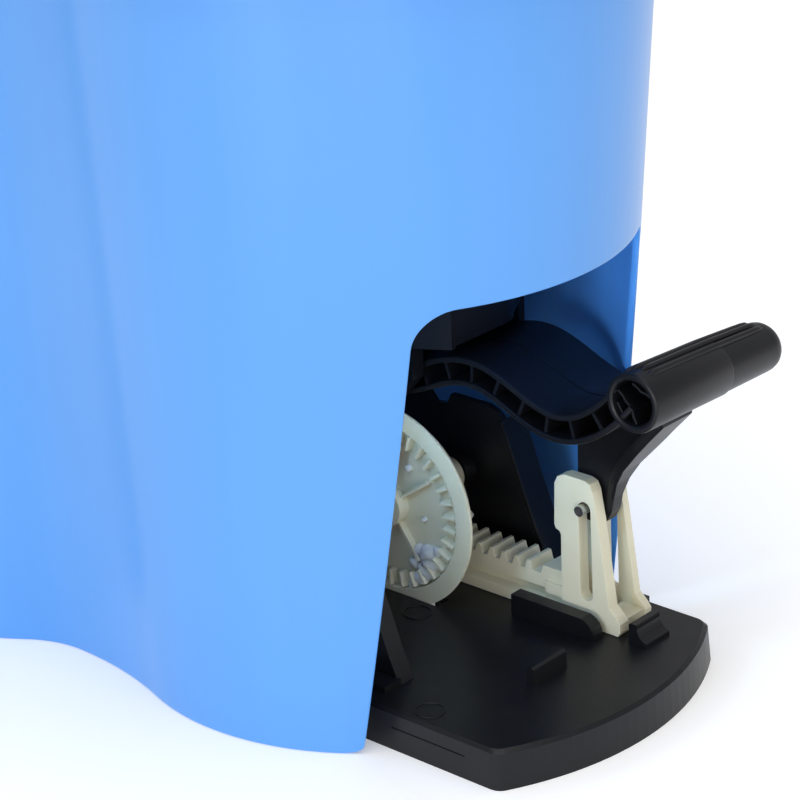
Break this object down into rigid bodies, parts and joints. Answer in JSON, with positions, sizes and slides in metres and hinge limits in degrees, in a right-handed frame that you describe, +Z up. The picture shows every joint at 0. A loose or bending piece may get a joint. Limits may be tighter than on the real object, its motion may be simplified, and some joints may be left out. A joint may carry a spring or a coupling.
{
  "type": "spin mop bucket",
  "caption": "Two-lobe spin mop bucket with a foot pedal that turns a drain basket through a rack, a crown gear and a vertical shaft with a one-way clutch.",
  "frame": {"origin": "on the floor, on the spinner's vertical axis, under the middle of the base plate's centre pad", "axes": "+Z up, +X from the washing lobe towards the pedal end, +Y towards the side that the rack and the foot bar's free end are on"},
  "size_m": [0.479, 0.2924, 0.3532],
  "materials": {
    "bucket_blue": "glossy light blue polypropylene",
    "black_plastic": "semi-gloss black moulding",
    "ivory_plastic": "slightly waxy natural acetal",
    "steel": "zinc plated",
    "bushing_bronze": "sintered",
    "seal_rubber": "matt",
    "basket_plastic": "glossy white",
    "handle_blue": "dark blue",
    "grip_plastic": "fine texture"
  },
  "bodies": {
    "housing": {"bucket": "bucket_blue", "base_plate": "black_plastic", "near_side_plate": "black_plastic", "far_side_plate": "black_plastic", "upper_case": "black_plastic", "axle_bushings": "bushing_bronze", "lower_bushing": "bushing_bronze", "upper_bushing": "bushing_bronze", "shaft_seal": "seal_rubber", "pivot_shaft": "steel", "pivot_clip": "steel", "return_spring": "steel", "base_screws": "steel", "case_screws": "steel", "side_screws": "steel", "handle_pins": "handle_blue"},
    "pedal": {"pedal": "black_plastic", "drive_pin": "steel"},
    "rack": {"rack_fork": "ivory_plastic"},
    "crown": {"crown_gear": "ivory_plastic", "gear_axle": "steel", "axle_clips": "steel"},
    "shaft": {"drive_shaft": "steel", "shaft_pinion": "ivory_plastic", "shaft_clip": "steel", "clutch_hub": "steel", "clutch_rollers": "steel", "shaft_screw": "steel"},
    "spinner": {"basket": "basket_plastic", "clutch_ring": "steel", "hub_cap": "basket_plastic"},
    "handle": {"carry_handle": "handle_blue", "handle_grip": "grip_plastic"}
  },
  "joints": [
    {"name": "pedal_hinge", "type": "hinge", "parent": "housing", "child": "pedal", "pos_m": [-0.004, 0.044, 0.113], "axis": [0, 1, 0], "range_deg": [0, 18], "stiffness_Nm_per_rad": 1.2, "springref_deg": -20.05},
    {"name": "rack_slide", "type": "slide", "parent": "housing", "child": "rack", "axis": [-1, 0, 0], "range_m": [0, 0.01846], "deforming": ["return_spring"]},
    {"name": "crown_spin", "type": "hinge", "parent": "housing", "child": "crown", "pos_m": [0, 0.02, 0.057], "axis": [0, 1, 0], "range_deg": [0, 48.1]},
    {"name": "shaft_spin", "type": "hinge", "parent": "housing", "child": "shaft", "pos_m": [0, 0, 0.15], "axis": [0, 0, 1], "range_deg": [-136.2, 0]},
    {"name": "basket_spin", "type": "hinge", "parent": "shaft", "child": "spinner", "pos_m": [0, 0, 0.22], "axis": [0, 0, 1], "continuous": true},
    {"name": "handle_swing", "type": "hinge", "parent": "housing", "child": "handle", "pos_m": [-0.092, 0, 0.34], "axis": [0, 1, 0], "range_deg": [0, 172]}
  ],
  "couplings": [
    {"joint": "rack_slide", "follows": "pedal_hinge", "m_per_rad": 0.058751},
    {"joint": "crown_spin", "follows": "pedal_hinge", "ratio": 2.6705},
    {"joint": "shaft_spin", "follows": "pedal_hinge", "ratio": -7.5664}
  ]
}
